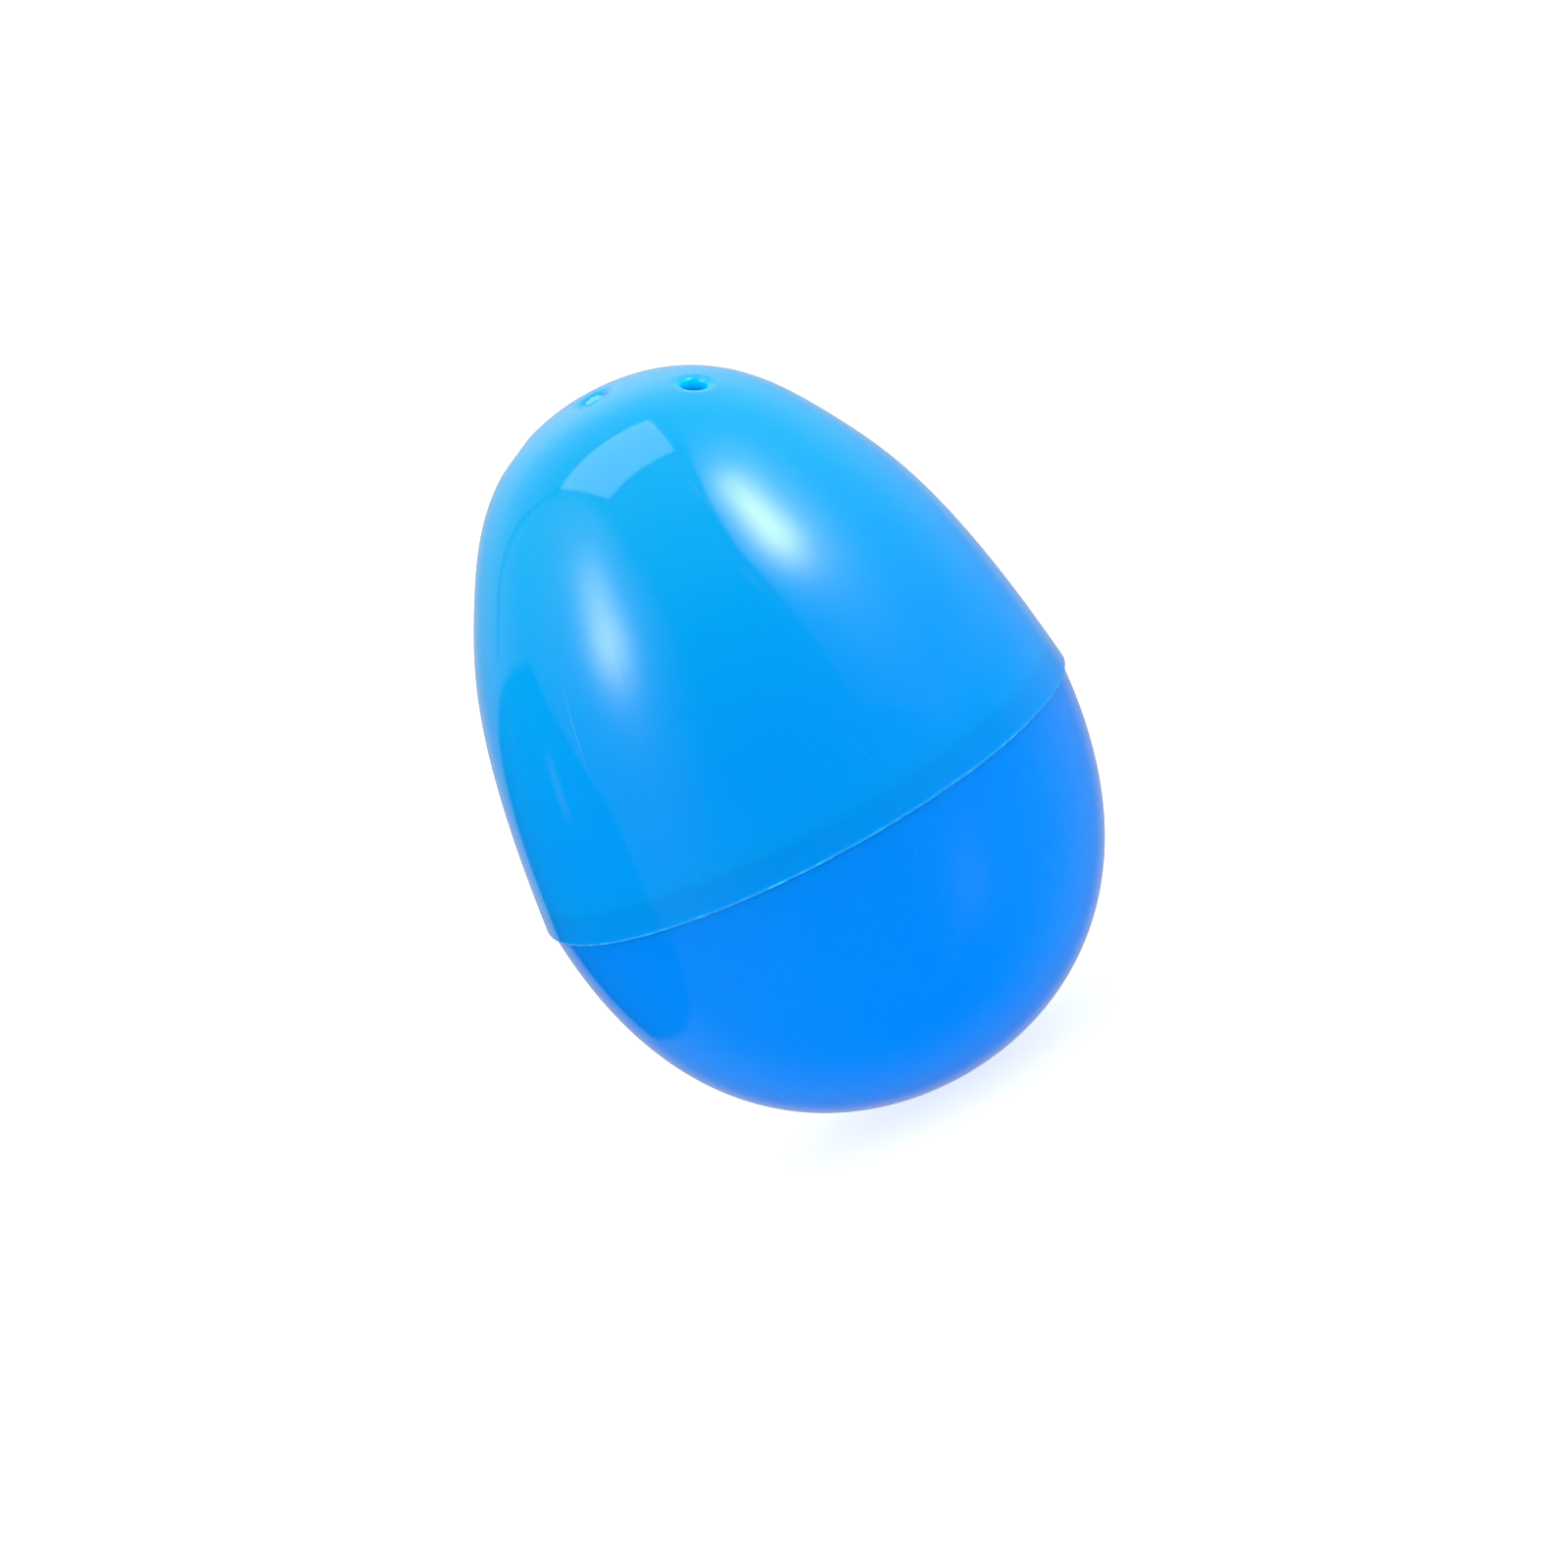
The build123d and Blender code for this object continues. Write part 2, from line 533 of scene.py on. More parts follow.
    def colour(self, at: ShellPoint, edge_wear_and_highlight: Node) -> Socket:
        """Colour: a slow pigment swirl, painted light that pales the crown, deeper over the spigot, and a
        pale rim edge that is part wear and part painted highlight.

        Args:
            at: the point being coloured.
            edge_wear_and_highlight: mask of the rim's edge, part wear and part painted highlight.

        Returns:
            Colour output.
        """
        swirl = {"Vector": at.place, "Scale": 1 / (self.cloud_size * MM), "Detail": 2.0, "Distortion": 0.6}
        cloud = add_node(at.tree, "TexNoise", swirl)
        # painted light: paler towards the crown, as if more light fell on it from above
        climb = {0: at.height, 1: self.crown_light_low * MM, 2: self.crown_light_high * MM}
        painted_crown_light = add_node(at.tree, "MapRange", climb, interpolation_type=EASED)
        spigot = at.between(self.band_low, self.band_high, 0.6)
        flat = add_node(at.tree, "VectorMath", {0: at.place, 1: (1.0, 1.0, 0.0)}, operation="MULTIPLY")
        reach = add_node(at.tree, "VectorMath", {0: flat}, operation="LENGTH").outputs["Value"]
        fade = {0: reach, 1: 1.0 * MM, 2: 0.6 * MM, 3: 0.0, 4: 0.6}
        near = add_node(at.tree, "MapRange", fade, interpolation_type=EASED)
        # gate stub's paler colour: part stress-whitened plastic, part painted glint
        gate = at.between(self.gate_height, self.gate_height + 5.0, 0.1)
        stub = add_node(at.tree, "Math", {0: gate, 1: near}, operation="MULTIPLY")
        colour = linear(self.deep_hex)
        for mask, pigment in (
            (cloud, self.body_hex),
            (painted_crown_light, self.crown_light_hex),
            (spigot, self.band_hex),
            (edge_wear_and_highlight, self.edge_wear_and_sheen_hex),
            (stub, self.stub_hex),
        ):
            layer = add_node(at.tree, "Mix", {0: mask, 6: colour, 7: linear(pigment)}, data_type="RGBA")
            colour = layer.outputs[2]
        return colour

    def hairlines(self, at: ShellPoint) -> Node:
        """Sparse hairline marks that run mostly along the egg, from hands and pockets.

        Args:
            at: the point being coloured.

        Returns:
            Mask.
        """
        across = {0: at.turn, 1: RIM_RADIUS / self.hairline_spacing}
        along = {0: at.height, 1: 1 / (self.hairline_length * MM)}
        grid = [add_node(at.tree, "Math", rate, operation="MULTIPLY") for rate in (across, along)]
        grid = add_node(at.tree, "CombineXYZ", {0: grid[0], 1: grid[1]})
        wander = {"Vector": grid, "Scale": 1.0, "Detail": 3.0, "Distortion": 0.4}
        waver = add_node(at.tree, "TexNoise", wander)
        line = add_node(at.tree, "Math", {0: waver, 1: 0.5, 2: 0.0022}, operation="COMPARE")
        where = add_node(at.tree, "TexNoise", {"Vector": grid, "Scale": 0.33, "Detail": 0.0})
        some = add_node(at.tree, "MapRange", {0: where, 1: 0.56, 2: 0.64, 3: 0.0, 4: 0.55})
        return add_node(at.tree, "Math", {0: line, 1: some}, operation="MULTIPLY")

    def long_mark(self, at: ShellPoint) -> Node:
        """One longer hairline along the flank.

        Args:
            at: the point being coloured.

        Returns:
            Mask.
        """
        here = {0: at.turn, 1: math.radians(self.scratch_angle), 2: 0.003}
        line = add_node(at.tree, "Math", here, operation="COMPARE")
        span = at.between(self.scratch_low, self.scratch_high, 1.5)
        return add_node(at.tree, "Math", {0: line, 1: span}, operation="MULTIPLY")

    def wear_and_highlight_specks(self, at: ShellPoint, edge: Node) -> Node:
        """The rim's edge, knocked about in handling and caught by light: a line broken into specks, part wear
        and part painted highlight.

        Args:
            at: the point being coloured.
            edge: mask of the rim's edge.

        Returns:
            Mask.
        """
        grain = {"Vector": at.place, "Scale": 1 / (self.speck_size * MM), "Detail": 1.0}
        patchy = add_node(at.tree, "TexNoise", grain)
        specks = add_node(at.tree, "MapRange", {0: patchy, 1: 0.5, 2: 0.72, 3: 0.1, 4: 0.9})
        return add_node(at.tree, "Math", {0: edge, 1: specks}, operation="MULTIPLY")

    def paint_vent_glow(self, at: ShellPoint) -> Node:
        """Painted glow inside the vent holes, standing in for light that the milky wall carries sideways and
        lets out there.

        Args:
            at: the point being coloured.

        Returns:
            Strength.
        """
        middle = tuple(v * MM for v in self.vent_place)
        mirrored = add_node(at.tree, "VectorMath", {0: at.place}, operation="ABSOLUTE")
        offset = add_node(at.tree, "VectorMath", {0: mirrored, 1: middle}, operation="SUBTRACT")
        away = {0: offset, 1: self.vent_axis}
        aside = add_node(at.tree, "VectorMath", away, operation="CROSS_PRODUCT")
        reach = add_node(at.tree, "VectorMath", {0: aside}, operation="LENGTH").outputs["Value"]
        sunk = add_node(at.tree, "VectorMath", away, operation="DOT_PRODUCT").outputs["Value"]
        bore = {0: reach, 1: 1.42 * MM, 2: 1.18 * MM, 3: 0.0, 4: self.painted_vent_glow}
        near = add_node(at.tree, "MapRange", bore, interpolation_type=EASED)
        wall = {0: sunk, 1: -1.5 * MM, 2: -0.45 * MM}
        deep = add_node(at.tree, "MapRange", wall, interpolation_type=EASED)
        return add_node(at.tree, "Math", {0: near, 1: deep}, operation="MULTIPLY")

    def rubbed_patch(self, at: ShellPoint) -> Node:
        """A narrow rubbed streak, made of fine grooves side by side.

        Args:
            at: the point being coloured.

        Returns:
            Mask.
        """
        away = add_node(at.tree, "Math", {0: at.turn, 1: math.radians(self.rub_angle)}, operation="SUBTRACT")
        aside = add_node(at.tree, "Math", {0: away}, operation="ABSOLUTE")
        sides = {0: aside, 1: self.rub_width, 2: 0.0, 3: 0.0, 4: 0.55}
        wide = add_node(at.tree, "MapRange", sides, interpolation_type=EASED)
        rate = RIM_RADIUS / self.groove_spacing * 2 * math.pi
        groove = add_node(at.tree, "Math", {0: at.turn, 1: rate}, operation="MULTIPLY")
        fine = add_node(at.tree, "Math", {0: groove}, operation="SINE")
        ridged = add_node(at.tree, "MapRange", {0: fine, 1: -1.0, 2: 1.0, 3: 0.55, 4: 1.0})
        tall = at.between(self.rub_height - self.rub_length, self.rub_height + self.rub_length, 1.4)
        patch = add_node(at.tree, "Math", {0: wide, 1: tall}, operation="MULTIPLY")
        return add_node(at.tree, "Math", {0: patch, 1: ridged}, operation="MULTIPLY")


@dataclass(frozen=True)
class TumbledSteel:
    """Low-carbon steel shot, cut and tumbled round.

    The eye gets a bright grey metal with a soft polish, fine pits and a darker oiled cast in patches.
    """

    name: str = "tumbled_steel_shot"
    bright_hex: str = "#C4C4C2"
    oiled_hex: str = "#8E8C88"
    oiled_roughness: float = 0.38
    bright_roughness: float = 0.18
    patch_size: float = 1.6
    pit_size: float = 0.35
    pit_depth: float = 0.04

    def build(self) -> bpy.types.Material:
        """Makes the material.

        Returns:
            A node material for the pellets.
        """
        material, tree, place = start_material(self.name)
        patches = {"Vector": place, "Scale": 1 / (self.patch_size * MM), "Detail": 3.0}
        patch = add_node(tree, "TexNoise", patches)
        casts = {0: patch, 6: linear(self.oiled_hex), 7: linear(self.bright_hex)}
        colour = add_node(tree, "Mix", casts, data_type="RGBA").outputs[2]
        rough = add_node(tree, "MapRange", {0: patch, 3: self.oiled_roughness, 4: self.bright_roughness})
        cells = add_node(tree, "TexVoronoi", {"Vector": place, "Scale": 1 / (self.pit_size * MM)})
        pits = {"Height": cells.outputs["Distance"], "Strength": 0.18, "Distance": self.pit_depth * MM}
        relief = add_node(tree, "Bump", pits)
        metal = {"Metallic": 1.0, "Base Color": colour, "Roughness": rough, "Normal": relief}
        add_node(tree, "OutputMaterial", {"Surface": add_node(tree, "BsdfPrincipled", metal)})
        return material


@dataclass(frozen=True)
class LightTable:
    """White acrylic lit from below, as product tables are, with the least tooth to its matt face."""

    name: str = "white_light_table"
    acrylic_hex: str = "#B4B4B4"
    tooth_size: float = 1.2
    tooth_depth: float = 0.05
    glow: float = 0.74

    def build(self) -> bpy.types.Material:
        """Makes the material.

        Returns:
            A node material for the floor.
        """
        material, tree, place = start_material(self.name)
        fineness = {"Vector": place, "Scale": 1 / (self.tooth_size * MM), "Detail": 2.0}
        grain = add_node(tree, "TexNoise", fineness)
        tooth = {"Height": grain, "Strength": 0.03, "Distance": self.tooth_depth * MM}
        shader = add_node(
            tree,
            "BsdfPrincipled",
            {
                "Base Color": linear(self.acrylic_hex),
                "Roughness": 0.9,
                "Specular IOR Level": 0.1,
                "Emission Color": linear("#FFFFFF"),
                "Emission Strength": self.glow,
                "Normal": add_node(tree, "Bump", tooth),
            },
        )
        add_node(tree, "OutputMaterial", {"Surface": shader})
        return material


@dataclass
class RimJoint:
    """Sizes shared by the socket in the narrow half and the spigot on the blunt half."""

    seam_height: float
    spigot_top: float
    rim_radius: float = RIM_RADIUS
    rim_step: float = 0.36
    skirt: float = 0.85
    gap: float = 0.1
    ledge_gap: float = 0.2
    bead_rise: float = 1.6
    bead_width: float = 0.9
    bead_proud: float = 0.09
    groove_depth: float = 0.12
    groove_spare: float = 0.06  # the groove is this much wider than the bead
    wall: float = 1.5

    @property
    def socket_radius(self) -> float:
        """Inner radius of the skirt."""
        return self.rim_radius - self.skirt

    @property
    def spigot_radius(self) -> float:
        """Outer radius of the spigot."""
        return self.socket_radius - self.gap

    @property
    def ledge_height(self) -> float:
        """Height of the socket's closed end."""
        return self.spigot_top + self.ledge_gap

    def bead_rows(self, radius: float, proud: float, width: float) -> list[Point]:
        """Half-profile of the snap bead, or of its groove.

        Args:
            radius: the wall it stands on.
            proud: how far its crest stands out.
            width: its height along the axis.

        Returns:
            Points going up.
        """
        middle = self.seam_height + self.bead_rise
        steps = [i / 8 for i in range(9)]
        return [(radius + proud * math.sin(math.pi * s) ** 2, middle + width * (s - 0.5)) for s in steps]


@dataclass
class NarrowShell:
    """Narrow half: dome, gate dimple with its stub, two vent holes, skirt and socket."""

    joint: RimJoint
    egg_height: float = 64.65
    crown_handle: float = 19.1
    middle_radius: float = 14.3
    middle_drop: float = 20.0
    flank_drop: float = 4.8
    draft: float = 6.25
    edge_radius: float = 0.2
    crown_drop: float = 0.1  # the crown's highest ring lies this far under the curve's pole
    crown_ease: float = 0.02
    dimple_radius: float = 2.25
    dimple_floor: float = 0.5
    dimple_depth: float = 0.42
    stub_radius: float = 0.76
    stub_height: float = 0.3
    moat_radius: float = 1.15
    moat_width: float = 0.16
    moat_depth: float = 0.07
    vent_offset: float = 8.8
    vent_radius: float = 1.15
    vent_dip_radius: float = 2.0
    vent_dip_depth: float = 0.08
    vent_lip: float = 0.4
    vent_inner_lip: float = 0.12
    block_inner: float = 5.5
    block_outer: float = 11.9
    block_rows: int = 24
    block_reach: int = 20
    flank_rows: int = 92
    inner_rows_below: int = 60
    inner_rows_above: int = 15
    stub_rows: int = 10
    nicks: int = 70
    seed: int = 5

    def outline(self) -> Outline:
        """Outer curve of the dome, flank and rim.

        Returns:
            The outline, from pole to rim.
        """
        top = self.egg_height
        flank = top - self.flank_drop
        lean = (flank - self.joint.seam_height) * math.tan(math.radians(self.draft))
        return Outline(
            (
                (0.0, top),
                (self.crown_handle, top),
                (self.middle_radius, top - self.middle_drop),
                (self.joint.rim_radius - lean, flank),
                (self.joint.rim_radius, self.joint.seam_height),
            ),
            Half.NARROW,
        )

    def crown_dip(self, radius: float) -> float:
        """How far the gate dimple and its stub change the crown's height.

        Args:
            radius: distance from the axis.

        Returns:
            Change in height, negative in the dimple.
        """
        dip = 1.0 - float(smooth_share(radius, self.dimple_floor, self.dimple_radius))
        stub = 1.0 - float(smooth_share(radius, self.stub_radius - 0.1, self.stub_radius + 0.08))
        moat = self.moat_depth * math.exp(-(((radius - self.moat_radius) / self.moat_width) ** 2))
        return -self.dimple_depth * dip + self.stub_height * stub - moat

    def block_shares(self) -> list[float]:
        """Outline shares of the rows that pass the vent holes."""
        radii = np.linspace(self.block_inner, self.block_outer, self.block_rows + 1)
        return [self.outline().share_at_radius(radius) for radius in radii]

    def outer_rows(self) -> tuple[list[Point], int, int]:
        """Rows of the outer face from pole to rim.

        Returns:
            Rows, and the first and last row of the vent block.
        """
        curve = self.outline()
        stub = [0.06, 0.14, 0.24, 0.34, 0.44, 0.54, 0.62, 0.68, 0.74, 0.8, 0.88, 0.97, 1.06, 1.15, 1.24, 1.34]
        dimple = [stub[-1] + 0.12 * i for i in range(1, 14)]
        crown = dimple[-1]
        radii = stub + dimple + [crown + (self.block_inner - crown) * (i + 0.5) / 9 for i in range(9)]
        level = self.egg_height - self.crown_drop
        rows = []
        for radius, height in curve.rows(curve.share_at_radius(r) for r in radii):
            eased = level - self.crown_ease * math.log1p(math.exp((level - height) / self.crown_ease))
            rows.append((radius, eased + self.crown_dip(radius)))
        first = len(rows)
        shares = self.block_shares()
        rows += curve.rows(shares)
        last = len(rows) - 1
        end = curve.share_clear_of(self.joint.seam_height + self.edge_radius * 1.6)
        rows += curve.rows(np.linspace(shares[-1], end, self.flank_rows + 1)[1:])
        return rows, first, last

    def rim_rows(self, before: Point, after: Point) -> tuple[list[Point], int]:
        """Rows round the rim's edge, up the socket and in along its ledge.

        Args:
            before: last point of the outer face.
            after: first point of the inner face.

        Returns:
            Rows, and how many of them lie on the outer rounded edge.
        """
        joint = self.joint
        low = joint.seam_height
        outer = (joint.rim_radius, low)
        foot = (joint.socket_radius, low)
        head = (joint.socket_radius, joint.ledge_height)
        rows = corner_arc(before, outer, foot, self.edge_radius, 8)
        edge_count = len(rows)
        rows += corner_arc(outer, foot, head, 0.1, 4)
        groove_width = joint.bead_width + joint.groove_spare
        rows += joint.bead_rows(joint.socket_radius, joint.groove_depth, groove_width)
        rows += corner_arc(foot, head, after, 0.12, 4)
        rows += corner_arc(head, (after[0], joint.ledge_height), (after[0] - 0.1, after[1] + 1.0), 0.12, 4)
        return rows, edge_count

    def inner_rows(self) -> tuple[list[Point], int, int]:
        """Rows of the inner face from the ledge to the pole.

        Returns:
            Rows, and the row of the vent block's outer and inner ends.
        """
        curve = self.outline()
        wall = self.joint.wall
        shares = self.block_shares()
        start = curve.share_clear_of(self.joint.ledge_height + 0.35, wall)
        rows = curve.rows(np.linspace(start, shares[-1], self.inner_rows_below + 1)[:-1], wall)
        first = len(rows)
        rows += curve.rows(reversed(shares), wall)
        last = len(rows) - 1
        rows += curve.rows(np.linspace(shares[0], 0.0, self.inner_rows_above + 1)[1:-1], wall)
        return rows, first, last

    def build(self) -> bpy.types.Object:
        """Builds the shell.

        Returns:
            The closed mesh piece.
        """
        outer, block_top, block_bottom = self.outer_rows()
        inner, inner_bottom, inner_top = self.inner_rows()
        rim, edge_count = self.rim_rows(outer[-1], inner[0])
        body = TurnedMesh(outer + rim + inner, COLUMNS)
        shift = len(outer) + len(rim)
        self.roughen_rim(body, len(outer), edge_count)
        self.roughen_stub(body)
        for middle in (0, COLUMNS // 2):
            loop_out = body.block_loop(block_top, block_bottom, middle, self.block_reach)
            loop_in = body.block_loop(shift + inner_top, shift + inner_bottom, middle, self.block_reach)
            self.let_in_vent(body, middle, loop_out, loop_in)
        return body.write("upper_shell_moulding")

    def roughen_rim(self, body: TurnedMesh, start: int, count: int) -> None:
        """Gives the parting edge its fine flash and nicks, always inward of the true edge.

        Args:
            body: mesh being built.
            start: first row of the rounded edge.
            count: rows in it.
        """
        rng = random.Random(self.seed)
        trims = [0.012 + 0.02 * rng.random() for _ in range(COLUMNS)]
        for _ in range(self.nicks):
            spot = rng.randrange(COLUMNS)
            trims[spot] += rng.uniform(0.03, 0.1)
        for i in range(1, count - 1):
            weight = math.sin(math.pi * i / (count - 1))
            for column in range(COLUMNS):
                spot = body.spots[start + i, column]
                radius = math.hypot(spot[0], spot[1])
                spot[:2] *= (radius - trims[column] * weight) / radius
                spot[2] += 0.5 * trims[column] * weight

    def roughen_stub(self, body: TurnedMesh) -> None:
        """Breaks the gate stub's top unevenly.

        Args:
            body: mesh being built.
        """
        rng = random.Random(self.seed + 1)
        waves = [(rng.randint(2, 9), rng.uniform(0, 6.28), rng.uniform(0.01, 0.035)) for _ in range(9)]
        for row, (radius, _) in enumerate(body.rows[: self.stub_rows]):
            for column in range(COLUMNS):
                angle = 2 * math.pi * column / COLUMNS
                rise = sum(size * math.sin(rate * angle + start + 5 * radius) for rate, start, size in waves)
                body.spots[row, column, 2] += rise * min(1.0, radius / 0.3)

    def vent_frame(self) -> tuple[Triple, Triple]:
        """Centre of the +X vent hole on the outer face, and its axis outward.

        Returns:
            Place and unit axis.
        """
        curve = self.outline()
        share = curve.share_at_radius(self.vent_offset)
        radius, height = (float(v) for v in curve.point(share))
        inside = curve.inset(share, 1.0)
        return (radius, 0.0, height), (radius - float(inside[0]), 0.0, height - float(inside[1]))

    def let_in_vent(self, body: TurnedMesh, middle: int, loop_out: list[int], loop_in: list[int]) -> None:
        """Lets a soft-lipped hole into the blocks left open in the outer and inner faces.

        Args:
            body: mesh being built.
            middle: column that the hole is centred on.
            loop_out: border of the outer block.
            loop_in: border of the inner block, in the same order.
        """
        curve = self.outline()
        (radius, _, height), (lean, _, rise) = self.vent_frame()
        angle = 2 * math.pi * middle / COLUMNS
        out = np.array([math.cos(angle), math.sin(angle), 0.0])
        side = np.array([-math.sin(angle), math.cos(angle), 0.0])
        up = np.array([0.0, 0.0, 1.0])
        origin = out * radius + up * height
        axis = out * lean + up * rise
        slope = np.cross(axis, side)

        def place(flat: np.ndarray, travel: np.ndarray) -> np.ndarray:
            """Positions from offsets square to the hole's axis, as (side, slope), and distance along it."""
            return origin + flat[:, :1] * side + flat[:, 1:] * slope + travel[:, None] * axis

        def on_face(flat: np.ndarray, depth: float) -> np.ndarray:
            """Distance along the hole's axis to a face.

            Args:
                flat: offsets square to the axis.
                depth: 0 for the outer face, the wall for the inner.

            Returns:
                One distance per row.
            """
            table = np.array(curve.rows(np.linspace(0.02, 0.75, 400), depth))
            travel = np.full(len(flat), -depth)
            for _ in range(30):
                spot = place(flat, travel)
                level = np.interp(np.hypot(spot[:, 0], spot[:, 1]), table[:, 0], table[:, 1])
                travel -= 0.8 * (spot[:, 2] - level)
            return travel

        def flat_of(loop: list[int]) -> np.ndarray:
            """Offsets of a border's vertices square to the hole's axis."""
            rel = body.spots.reshape(-1, 3)[loop] - origin
            return np.stack([rel @ side, rel @ slope], 1)

        wall = self.joint.wall
        border, border_in = flat_of(loop_out), flat_of(loop_in)
        heading = border / np.linalg.norm(border, axis=1)[:, None]
        rings = []
        for i in range(1, 13):
            flat = border + (heading * self.vent_dip_radius - border) * (i / 12)
            rings.append(place(flat, on_face(flat, 0.0)))
        lip_start = self.vent_radius + self.vent_lip
        for i in range(1, 7):
            flat = heading * (self.vent_dip_radius + (lip_start - self.vent_dip_radius) * i / 6)
            sink = self.vent_dip_depth * float(smooth_share(i / 6, 0.0, 1.0))
            rings.append(place(flat, on_face(flat, 0.0) - sink))
        for bend in np.linspace(0.0, math.pi / 2, 9)[1:]:
            flat = heading * (lip_start - self.vent_lip * math.sin(bend))
            sink = self.vent_dip_depth + self.vent_lip * (1 - math.cos(bend))
            rings.append(place(flat, on_face(flat, 0.0) - sink))
        bore = heading * self.vent_radius
        top = on_face(bore, 0.0) - self.vent_dip_depth - self.vent_lip
        bottom = on_face(bore, wall) + self.vent_inner_lip
        for i in range(1, 5):
            rings.append(place(bore, top + (bottom - top) * i / 4))
        for bend in np.linspace(0.0, math.pi / 2, 5)[1:]:
            flat = heading * (self.vent_radius + self.vent_inner_lip * (1 - math.cos(bend)))
            rings.append(place(flat, on_face(flat, wall) + self.vent_inner_lip * (1 - math.sin(bend))))
        start = heading * (self.vent_radius + self.vent_inner_lip)
        for i in range(1, 10):
            flat = start + (border_in - start) * (i / 10) ** 1.3
            rings.append(place(flat, on_face(flat, wall)))
        last = loop_out
        for points in rings:
            ring = body.add_ring(points)
            body.join(last, ring)
            last = ring
        body.join(last, loop_in)


@dataclass
class BluntShell:
    """Blunt half: bowl, shoulder that the rim sits on, and the spigot with its snap bead."""

    joint: RimJoint
    pole_drop: float = 0.25
    base_handle: float = 10.4
    heel_rise: float = 6.4
    draft: float = 2.9
    spigot_lead: float = 0.25
    mark_height: float = 0.12
    bowl_rows: int = 96
    inner_rows: int = 80

    def outline(self) -> Outline:
        """Outer curve from the pole under the land to the shoulder.

        Returns:
            The outline, from pole to shoulder.
        """
        joint = self.joint
        rim = joint.rim_radius - joint.rim_step
        heel = self.heel_rise - self.pole_drop
        lean = (joint.seam_height - heel) * math.tan(math.radians(self.draft))
        return Outline(
            (
                (0.0, -self.pole_drop),
                (self.base_handle, -self.pole_drop),
                (rim - lean, heel),
                (rim, joint.seam_height),
            ),
            Half.BLUNT,
        )

    def land_rows(self) -> list[Point]:
        """Rows of the flat land with the mould's small centre mark and the soft turn into the bowl.

        Returns:
            Rows, from the middle outward.
        """
        curve = self.outline()
        land = curve.share_at_radius(1.0)
        while curve.point(land)[1] < 0.0:
            land += SHARE_STEP
        edge = float(curve.point(land)[0])
        rows = []
        for radius in [0.1, 0.4, 0.7, 0.9, 1.0, 1.1, 1.2, 1.35, 1.6, 2.0, 2.4, edge - 0.5, edge - 0.25]:
            mark = self.mark_height * (1.0 - float(smooth_share(radius, 0.9, 1.25)))
            rows.append((radius, mark))
        for radius in (edge - 0.1, edge + 0.1, edge + 0.35, edge + 0.6):
            level = max(0.0, float(curve.point(curve.share_at_radius(radius))[1]))
            rows.append((radius, level + 0.012 * math.exp(-(((radius - edge) / 0.3) ** 2))))
        return rows

    def profile(self) -> list[Point]:
        """Rows from the land, up the outside, over the spigot and down the inside.

        Returns:
            Every row of the shell.
        """
        curve = self.outline()
        joint = self.joint
        low = joint.seam_height
        rows = self.land_rows()
        start = curve.share_at_radius(rows[-1][0] + 0.3)
        rows += curve.rows(np.linspace(start, curve.share_clear_of(low - 0.32), self.bowl_rows + 1))
        rim = (joint.rim_radius - joint.rim_step, low)
        root = (joint.spigot_radius, low)
        head = (joint.spigot_radius, joint.spigot_top)
        bore = float(curve.inset(1.0, joint.wall)[0])
        inner_head = (bore, joint.spigot_top)
        rows += corner_arc(rows[-1], rim, root, 0.14, 5)
        rows += corner_arc(rim, root, head, 0.06, 3)
        rows += joint.bead_rows(joint.spigot_radius, joint.bead_proud, joint.bead_width)
        lead_low = (joint.spigot_radius, joint.spigot_top - self.spigot_lead)
        lead_high = (joint.spigot_radius - self.spigot_lead, joint.spigot_top)
        rows += corner_arc(root, lead_low, lead_high, 0.1, 3)
        rows += corner_arc(lead_low, lead_high, inner_head, 0.08, 3)
        rows += corner_arc(lead_high, inner_head, (bore, low), 0.12, 4)
        rows += [(bore, low + 1.2), (bore, low + 0.5)]
        return rows + curve.rows(np.linspace(1.0, 0.0, self.inner_rows + 1)[:-1], joint.wall)

    def build(self) -> bpy.types.Object:
        """Builds the shell.

        Returns:
            The closed mesh piece.
        """
        return TurnedMesh(self.profile(), COLUMNS).write("lower_shell_moulding")


